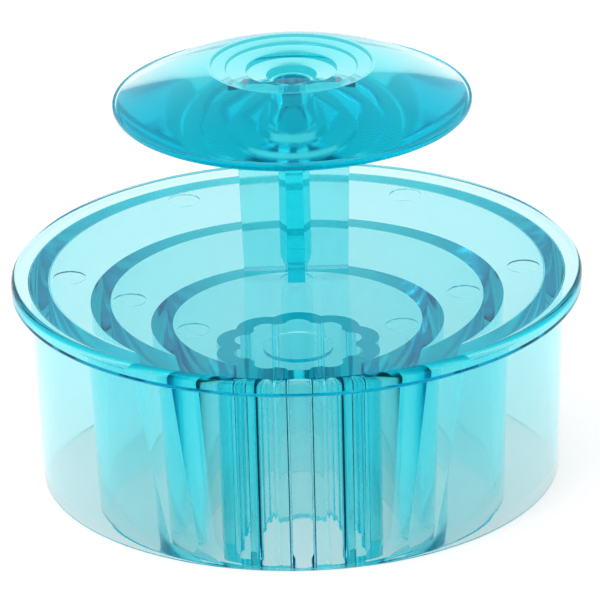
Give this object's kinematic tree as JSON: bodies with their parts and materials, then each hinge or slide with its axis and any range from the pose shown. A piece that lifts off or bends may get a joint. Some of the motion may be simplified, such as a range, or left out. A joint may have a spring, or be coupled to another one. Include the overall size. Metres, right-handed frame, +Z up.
{
  "type": "nested ring cutter",
  "caption": "Clear cyan hand cutter: a flanged round head over four nested ring walls that meet at the front, the smallest fluted, with a cross-shaped post and a lens-shaped palm knob.",
  "frame": {"origin": "centre of the base on the resting plane, under the post", "axes": "+Z up along the post, -Y towards the front, where the ring walls meet"},
  "size_m": [0.08, 0.08, 0.0605],
  "materials": {
    "head_plastic": "clear cyan, polished moulding",
    "post_plastic": "clear cyan, polished moulding",
    "knob_plastic": "clear cyan, polished moulding"
  },
  "bodies": {
    "root": {"drum": "head_plastic", "large_ring": "head_plastic", "small_ring": "head_plastic", "fluted_ring": "head_plastic", "post": "post_plastic", "knob": "knob_plastic"}
  },
  "joints": []
}
